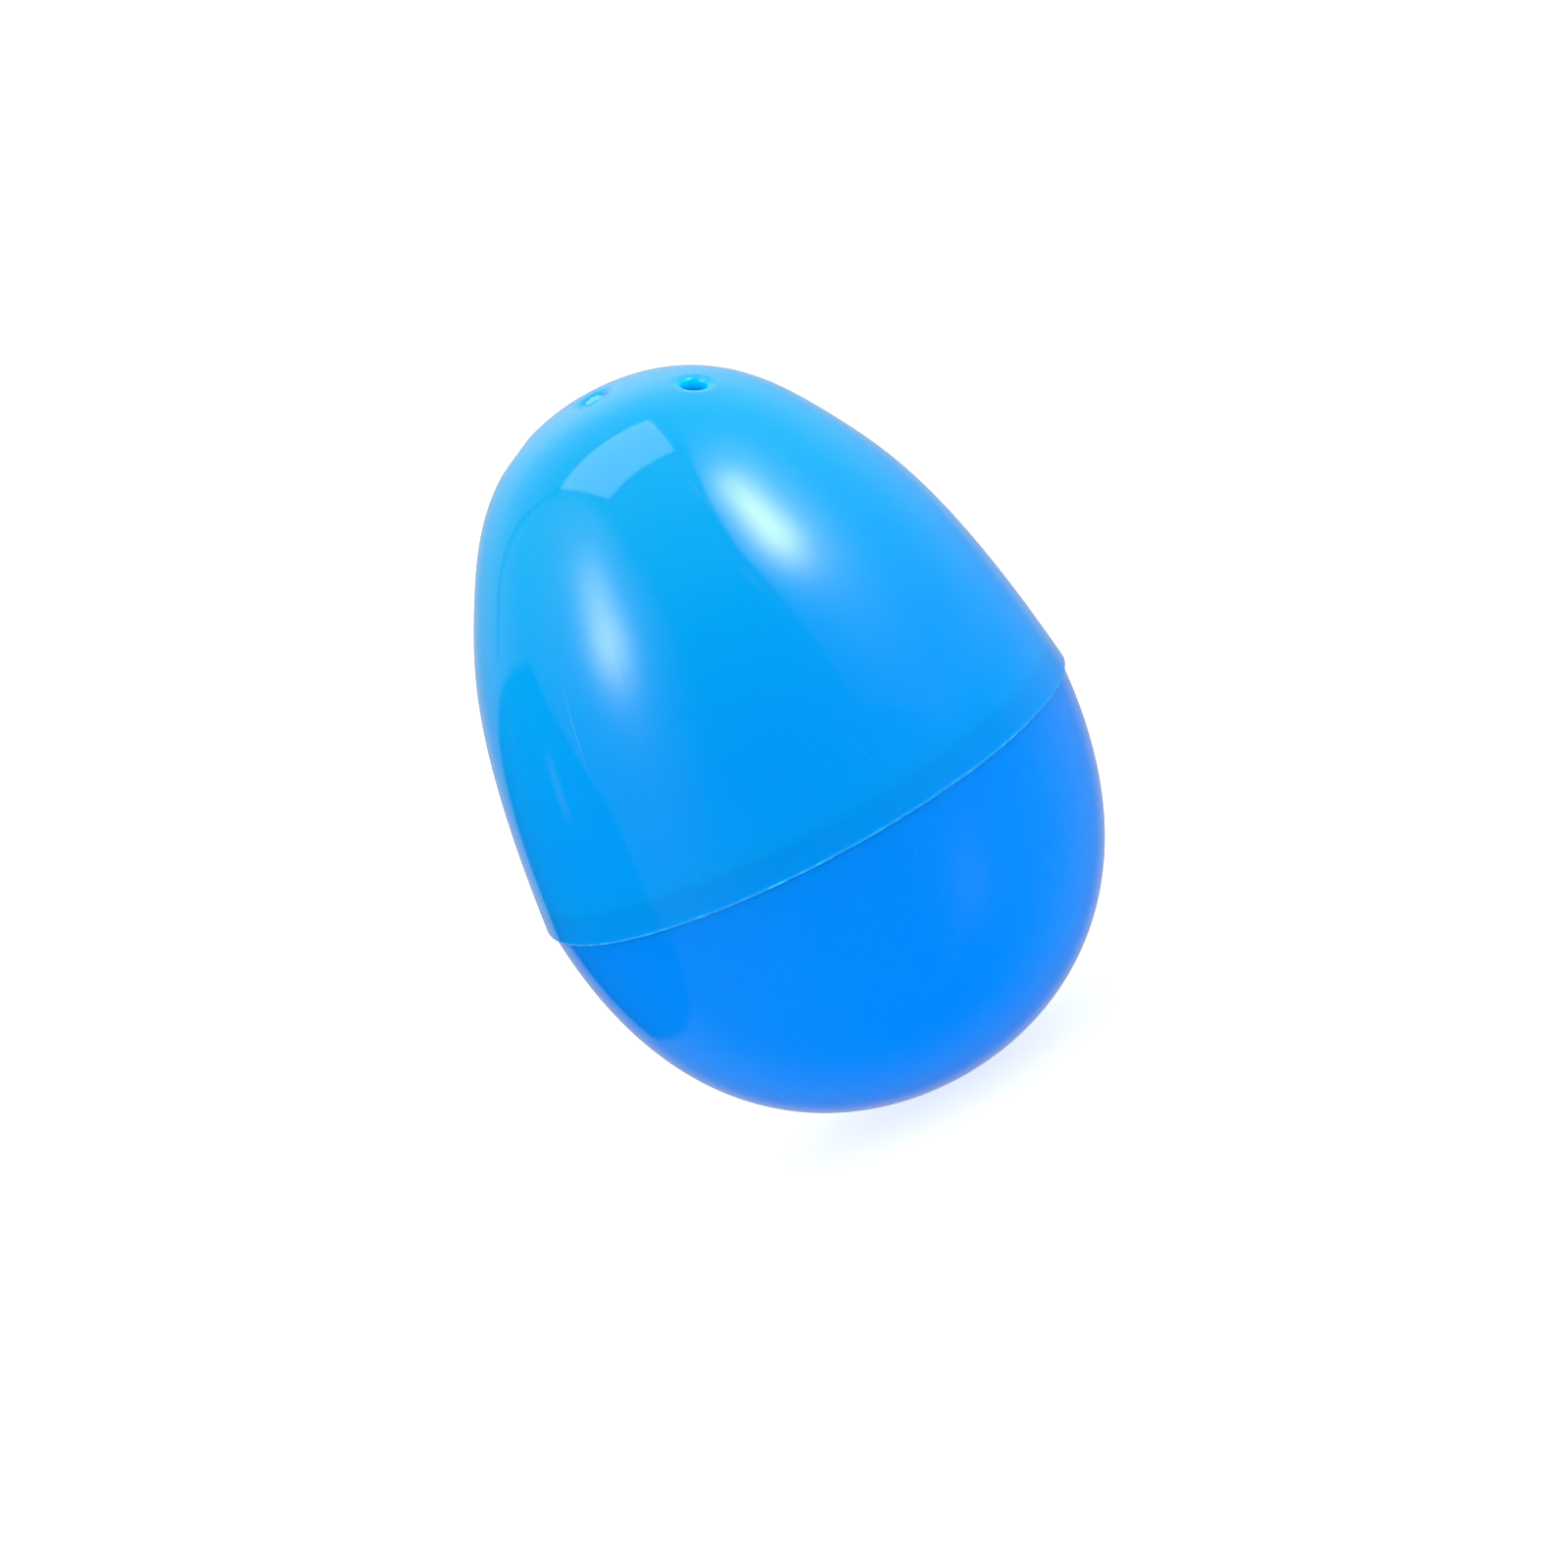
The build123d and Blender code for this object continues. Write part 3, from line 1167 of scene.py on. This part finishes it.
@dataclass
class PelletFill:
    """The loose shot: one slightly uneven steel ball for each pellet body."""

    names: list[str]
    rings: int = 22
    columns: int = 36
    unevenness: float = 0.018
    shrink: float = 0.9985  # keeps a ball just inside its CAD sphere

    def build_one(self, name: str, number: int) -> bpy.types.Object:
        """Builds one ball where its body rests.

        Args:
            name: the CAD node it stands for.
            number: seeds its flats and its turn.

        Returns:
            The ball.
        """
        low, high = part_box(name)
        centre = (low + high) / 2
        radius = (high.z - low.z) / 2
        rng = random.Random(1000 + number)
        flats = []
        for _ in range(9):
            away = Vector((rng.gauss(0, 1), rng.gauss(0, 1), rng.gauss(0, 1))).normalized()
            flats.append((away, 1.0 - self.unevenness * rng.uniform(0.3, 1.0)))
        turn = Euler([rng.uniform(0, 6.28) for _ in range(3)]).to_matrix()
        ways = []
        for row in range(1, self.rings):
            tilt = math.pi * row / self.rings
            flat, rise = math.sin(tilt), math.cos(tilt)
            for column in range(self.columns):
                spin = 2 * math.pi * column / self.columns
                ways.append(Vector((flat * math.cos(spin), flat * math.sin(spin), rise)))
        ways += [Vector((0, 0, 1)), Vector((0, 0, -1))]
        spots = []
        for way in (turn @ way for way in ways):
            reach = min([1.0] + [cut / way.dot(away) for away, cut in flats if way.dot(away) > cut])
            spots.append(tuple(centre + way * radius * self.shrink * reach))
        faces = []
        top, bottom = len(ways) - 2, len(ways) - 1
        base = (self.rings - 2) * self.columns
        for column in range(self.columns):
            beside = (column + 1) % self.columns
            for row in range(0, base, self.columns):
                low_row = row + self.columns
                faces.append((row + column, low_row + column, low_row + beside, row + beside))
            faces.append((column, beside, top))
            faces.append((base + beside, base + column, bottom))
        ball = new_piece(f"{name}_shot", spots, faces)
        smooth_outward(ball)
        return ball

    def build(self, finish: bpy.types.Material) -> None:
        """Builds and dresses every ball, each riding on its own body.

        Args:
            finish: the steel.
        """
        for number, name in enumerate(self.names):
            ball = self.build_one(name, number)
            dress(ball, finish, name, "pellet_steel", name)


@dataclass(frozen=True)
class HotSpot:
    """Bell-shaped glow of a lamp behind its diffuser."""

    way: Triple
    spread: Point
    strength: float


@dataclass(frozen=True)
class Panel:
    """One diffuser, window or flag of the studio, seen from the egg as a convex outline."""

    corners: tuple[Triple, ...]
    role: PanelRole
    level: float
    ease: float = 0.02
    spots: tuple[HotSpot, ...] = ()


@dataclass
class Studio:
    """White sweep, soft light from all round, two diffused lamps and an overhead board, and the camera.

    Directions are (right, up, towards the camera) as the camera stands before its roll.
    """

    azimuth: float = 25.0
    elevation: float = 13.2
    distance: float = 3000.0
    roll: float = 28.3
    aim_height: float = 31.9
    aim_right: float = 0.71
    aim_down: float = 3.79
    frame_scale: float = 12.35  # frame widths, in 1600ths, to a millimetre at the egg
    sensor_width: float = 36.0
    table_reach: float = 6000.0
    table_corners: int = 96
    panels: tuple[Panel, ...] = ()
    sky_level: float = 1.12
    sky_tilt: float = 0.30
    side_tilt: float = 0.15
    sweep_tilt: float = 0.42
    sky_least: float = 0.2
    low_card: HotSpot = HotSpot((0.60, -0.72, 0.34), (0.10, 0.14), 0.22)
    back_card: HotSpot = HotSpot((0.0, 0.62, -0.78), (0.46, 0.26), 0.62)

    def basis(self) -> tuple[Vector, Vector, Vector]:
        """Right, up and back directions of the unrolled camera.

        Returns:
            Unit vectors.
        """
        a, e = math.radians(self.azimuth), math.radians(self.elevation)
        back = Vector((math.sin(a) * math.cos(e), -math.cos(a) * math.cos(e), math.sin(e)))
        right = Vector((math.cos(a), math.sin(a), 0.0))
        return right, back.cross(right), back

    def set_camera(self) -> None:
        """Makes the long-lens camera, rolled so that the narrow end leans to the left."""
        right, up, back = self.basis()
        turn = math.radians(self.roll)
        across = right * math.cos(turn) - up * math.sin(turn)
        above = right * math.sin(turn) + up * math.cos(turn)
        aim = Vector((0, 0, self.aim_height)) + across * self.aim_right - above * self.aim_down
        data = bpy.data.cameras.new("camera")
        data.sensor_width = self.sensor_width
        data.lens = self.frame_scale * self.sensor_width * self.distance / 1600.0
        data.clip_start, data.clip_end = 0.01, 20.0
        camera = bpy.data.objects.new("camera", data)
        bpy.context.scene.collection.objects.link(camera)
        camera.location = (aim + back * self.distance) * MM
        camera.rotation_mode = "QUATERNION"
        camera.rotation_quaternion = Matrix((across, above, back)).transposed().to_quaternion()
        bpy.context.scene.camera = camera

    def toward(self, way: Triple) -> Vector:
        """World direction of a studio direction."""
        right, up, back = self.basis()
        return (right * way[0] + up * way[1] + back * way[2]).normalized()


    def outline_mask(self, tree: Tree, look: Socket, panel: Panel) -> Node:
        """Mask that is 1 inside a panel's outline.

        Args:
            tree: the world's tree.
            look: direction being looked in.
            panel: the panel.

        Returns:
            Mask.
        """
        ways = [self.toward(c) for c in panel.corners]
        middle = sum(ways, Vector())
        total = None
        for first, second in zip(ways, ways[1:] + ways[:1]):
            side = first.cross(second).normalized()
            if side.dot(middle) < 0:
                side = -side
            lean = add_node(tree, "VectorMath", {0: look, 1: side}, operation="DOT_PRODUCT").outputs["Value"]
            edge = {0: lean, 1: -panel.ease, 2: panel.ease, 3: 0.0, 4: 1.0}
            step = add_node(tree, "MapRange", edge, interpolation_type=EASED)
            total = add_node(tree, "Math", {0: total, 1: step}, operation="MULTIPLY") if total else step
        return total

    def glow(self, tree: Tree, look: Socket, spot: HotSpot) -> Node:
        """Brightness of a hot spot.

        Args:
            tree: the world's tree.
            look: direction being looked in.
            spot: the hot spot.

        Returns:
            Brightness.
        """
        middle = self.toward(spot.way)
        side = self.basis()[1].cross(middle).normalized()
        ways = (side / spot.spread[0], middle.cross(side) / spot.spread[1], middle)
        leans = [add_node(tree, "VectorMath", {0: look, 1: way}, operation="DOT_PRODUCT") for way in ways]
        wide, tall, ahead = (lean.outputs["Value"] for lean in leans)
        squares = [add_node(tree, "Math", {0: lean, 1: lean}, operation="MULTIPLY") for lean in (wide, tall)]
        total = add_node(tree, "Math", {0: squares[0], 1: squares[1]}, operation="ADD")
        fall = add_node(tree, "Math", {0: math.exp(-0.5), 1: total}, operation="POWER")
        front = add_node(tree, "Math", {0: ahead, 1: 0.0}, operation="GREATER_THAN")
        seen = add_node(tree, "Math", {0: fall, 1: front}, operation="MULTIPLY")
        return add_node(tree, "Math", {0: seen, 1: spot.strength}, operation="MULTIPLY")

    def reflected_room(self, tree: Tree, look: Socket) -> Node:
        """The studio as the gloss shows it: dim in front, bright overhead and behind, lamps at the sides.

        Args:
            tree: the world's tree.
            look: direction being looked in.

        Returns:
            Brightness.
        """
        right, up, back = self.basis()
        parts = []
        for way, both_sides, span, levels in (
            (up, False, (0.2, 1.2), (0.01, 0.36)),  # overhead
            (-back, False, (0.1, 0.8), (0.0, 0.19)),  # sweep
            (-back, False, (0.84, 0.99), (0.0, 0.24)),  # the sweep's bright middle
            (right, True, (0.2, 1.0), (0.0, 0.06)),  # side walls
        ):
            lean = add_node(tree, "VectorMath", {0: look, 1: way}, operation="DOT_PRODUCT").outputs["Value"]
            if both_sides:
                lean = add_node(tree, "Math", {0: lean}, operation="ABSOLUTE")
            wash = {0: lean, 1: span[0], 2: span[1], 3: levels[0], 4: levels[1]}
            parts.append(add_node(tree, "MapRange", wash, interpolation_type=EASED))
        parts += [self.glow(tree, look, card) for card in (self.low_card, self.back_card)]
        total = parts[0]
        for part in parts[1:]:
            total = add_node(tree, "Math", {0: total, 1: part}, operation="ADD")
        for panel in self.panels:
            mask = self.outline_mask(tree, look, panel)
            if panel.role is PanelRole.FLAG:
                shade = {0: mask, 1: 0.0, 2: 1.0, 3: 1.0, 4: panel.level}
                dim = add_node(tree, "MapRange", shade, interpolation_type=EASED)
                total = add_node(tree, "Math", {0: total, 1: dim}, operation="MULTIPLY")
                continue
            for level in (panel.level, *(self.glow(tree, look, spot) for spot in panel.spots)):
                light = add_node(tree, "Math", {0: level, 1: mask}, operation="MULTIPLY")
                total = add_node(tree, "Math", {0: total, 1: light}, operation="ADD")
        return total

    def set_light(self) -> None:
        """Lights the egg softly from all round, more from above and from the sweep behind."""
        world = bpy.data.worlds.new("studio")
        bpy.context.scene.world = world
        world.use_nodes = True
        tree = world.node_tree
        tree.nodes.clear()
        look = add_node(tree, "TexCoord").outputs["Generated"]
        right, up, back = self.basis()
        way = up * self.sky_tilt + right * self.side_tilt - back * self.sweep_tilt
        tilt = add_node(tree, "VectorMath", {0: look, 1: way}, operation="DOT_PRODUCT").outputs["Value"]
        sky = add_node(tree, "Math", {0: tilt, 1: self.sky_level}, operation="ADD")
        even = add_node(tree, "Math", {0: sky, 1: self.sky_least}, operation="MAXIMUM")
        white = linear("#FFFFFF")
        soft = add_node(tree, "Background", {"Color": white, "Strength": even})
        mirrored = add_node(tree, "Background", {"Color": white, "Strength": self.reflected_room(tree, look)})
        behind = add_node(tree, "Background", {"Color": white})
        rays = add_node(tree, "LightPath").outputs
        lit = add_node(tree, "MixShader", {0: rays["Is Glossy Ray"], 1: soft, 2: mirrored})
        seen = add_node(tree, "MixShader", {0: rays["Is Camera Ray"], 1: lit, 2: behind})
        add_node(tree, "OutputWorld", {"Surface": seen})
        bpy.context.scene.view_settings.view_transform = "Standard"

    def set_floor(self, finish: bpy.types.Material) -> None:
        """Lays the white table under the egg.

        Args:
            finish: the table's acrylic.
        """
        reach = self.table_reach * MM
        angles = [2 * math.pi * i / self.table_corners for i in range(self.table_corners)]
        ring = [(reach * math.cos(angle), reach * math.sin(angle), 0.0) for angle in angles]
        floor = new_piece("floor_sweep", ring, [range(self.table_corners)])
        floor.data.materials.append(finish)
        floor.visible_glossy = False


def dress(piece: bpy.types.Object, finish: bpy.types.Material, body: str, slot: str, *nodes: str) -> None:
    """Gives a piece its finish, its body and the CAD nodes it stands for.

    Args:
        piece: the piece.
        finish: its material.
        body: CAD body it rides on.
        slot: not used.
        nodes: CAD nodes it replaces.
    """
    piece.data.materials.append(finish)
    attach(piece, body)
    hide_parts(*nodes)
    LOG.info("%s: %d faces on %s", piece.name, len(piece.data.polygons), body)


def studio_panels() -> tuple[Panel, ...]:
    """The studio's lamps, window and flags.

    Returns:
        Panels in (right, up, towards the camera) directions from the egg.
    """
    left_lamp = Panel(
        (
            (-0.46, 0.88, -0.06),
            (-0.70, 0.27, -0.66),
            (-0.98, -0.12, 0.20),
            (-0.62, -0.12, 0.78),
            (-0.28, 0.27, 0.92),
            (-0.38, 0.82, 0.42),
        ),
        PanelRole.DIFFUSER,
        0.0,
        0.10,
        (
            HotSpot((-0.712, 0.408, 0.571), (0.122, 0.122), 7.6),
            HotSpot((-0.66, 0.58, 0.48), (0.28, 0.30), 0.95),
        ),
    )
    right_lamp = Panel(
        (
            (0.45, 0.85, 0.28),
            (0.43, 0.50, 0.75),
            (0.60, -0.07, 0.80),
            (0.90, -0.10, 0.42),
            (0.93, 0.03, -0.38),
            (0.45, 0.14, -0.88),
            (0.20, 0.78, -0.59),
        ),
        PanelRole.DIFFUSER,
        0.035,
        0.02,
        (
            HotSpot((0.672, 0.491, 0.554), (0.124, 0.112), 12.4),
            HotSpot((0.744, 0.51, 0.433), (0.21, 0.21), 3.0),
            HotSpot((0.85, 0.50, 0.05), (0.45, 0.35), 0.12),
        ),
    )
    window = Panel(
        ((-0.46, 0.88, -0.06), (0.23, 0.96, -0.19), (0.36, 0.88, 0.31), (-0.27, 0.84, 0.47)),
        PanelRole.DIFFUSER,
        1.95,
        0.012,
    )
    gap = Panel(
        ((-0.455, 0.885, -0.08), (-0.70, 0.30, -0.65), (-0.725, 0.315, -0.61), (-0.49, 0.87, -0.03)),
        PanelRole.FLAG,
        0.45,
        0.012,
    )
    left_flag = Panel(
        (
            (-0.90, 0.38, -0.20),
            (-0.98, 0.00, 0.19),
            (-0.955, -0.28, 0.11),
            (-0.925, -0.385, 0.0),
            (-0.865, -0.445, -0.23),
            (-0.77, -0.42, -0.48),
            (-0.47, -0.20, -0.86),
            (-0.44, 0.05, -0.90),
            (-0.80, 0.32, -0.51),
        ),
        PanelRole.FLAG,
        0.06,
        0.02,
    )
    return left_lamp, right_lamp, window, gap, left_flag


def main() -> None:
    """Builds the egg, its fill and the studio, in order."""
    logging.basicConfig(level=logging.INFO, format="%(name)s %(message)s")
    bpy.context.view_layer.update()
    joint = RimJoint(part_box("upper_shell")[0].z / MM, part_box("lower_shell")[1].z / MM)
    narrow_shell = NarrowShell(joint)
    vent_place, vent_axis = narrow_shell.vent_frame()
    upper_plastic = MouldedPolypropylene(
        "azure_polypropylene_narrow_half",
        body_hex="#009FF8",
        deep_hex="#0098F5",
        crown_light_hex="#00B7F6",
        band_hex="#0094F6",
        edge_wear_and_sheen_hex="#30B8F8",
        band_low=joint.seam_height,
        band_high=joint.spigot_top,
        edge_high=joint.seam_height + 0.24,
        gate_height=63.0,
        scratch_angle=-107.8,
        scratch_low=41.5,
        scratch_high=47.5,
        rub_angle=-118.5,
        rub_height=40.0,
        vent_place=vent_place,
        vent_axis=vent_axis,
    )
    # the blunt half's colours are a deeper copy of the narrow half's: painted shade for the lower half, which
    # gets less light from above
    lower_plastic = MouldedPolypropylene(
        "azure_polypropylene_blunt_half",
        body_hex="#008FF8",
        deep_hex="#0087F5",
        crown_light_hex="#008FF8",
        band_hex="#0087F5",
        edge_wear_and_sheen_hex="#008FF8",
        band_low=joint.seam_height,
        band_high=joint.spigot_top,
        edge_high=joint.seam_height - 1.5,
        gate_height=200.0,
        scratch_angle=150.0,
        scratch_low=9.0,
        scratch_high=13.0,
        rub_angle=20.0,
        rub_height=14.0,
    )
    dress(narrow_shell.build(), upper_plastic.build(), "upper_shell", "upper_plastic", "upper_shell")
    blunt = BluntShell(joint).build()
    dress(blunt, lower_plastic.build(), "lower_shell", "lower_plastic", "lower_shell")
    names = sorted(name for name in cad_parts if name.startswith("pellet_"))
    PelletFill(names).build(TumbledSteel().build())
    studio = Studio(panels=studio_panels())
    studio.set_light()
    studio.set_floor(LightTable().build())
    studio.set_camera()


if __name__ == "__main__":
    main()
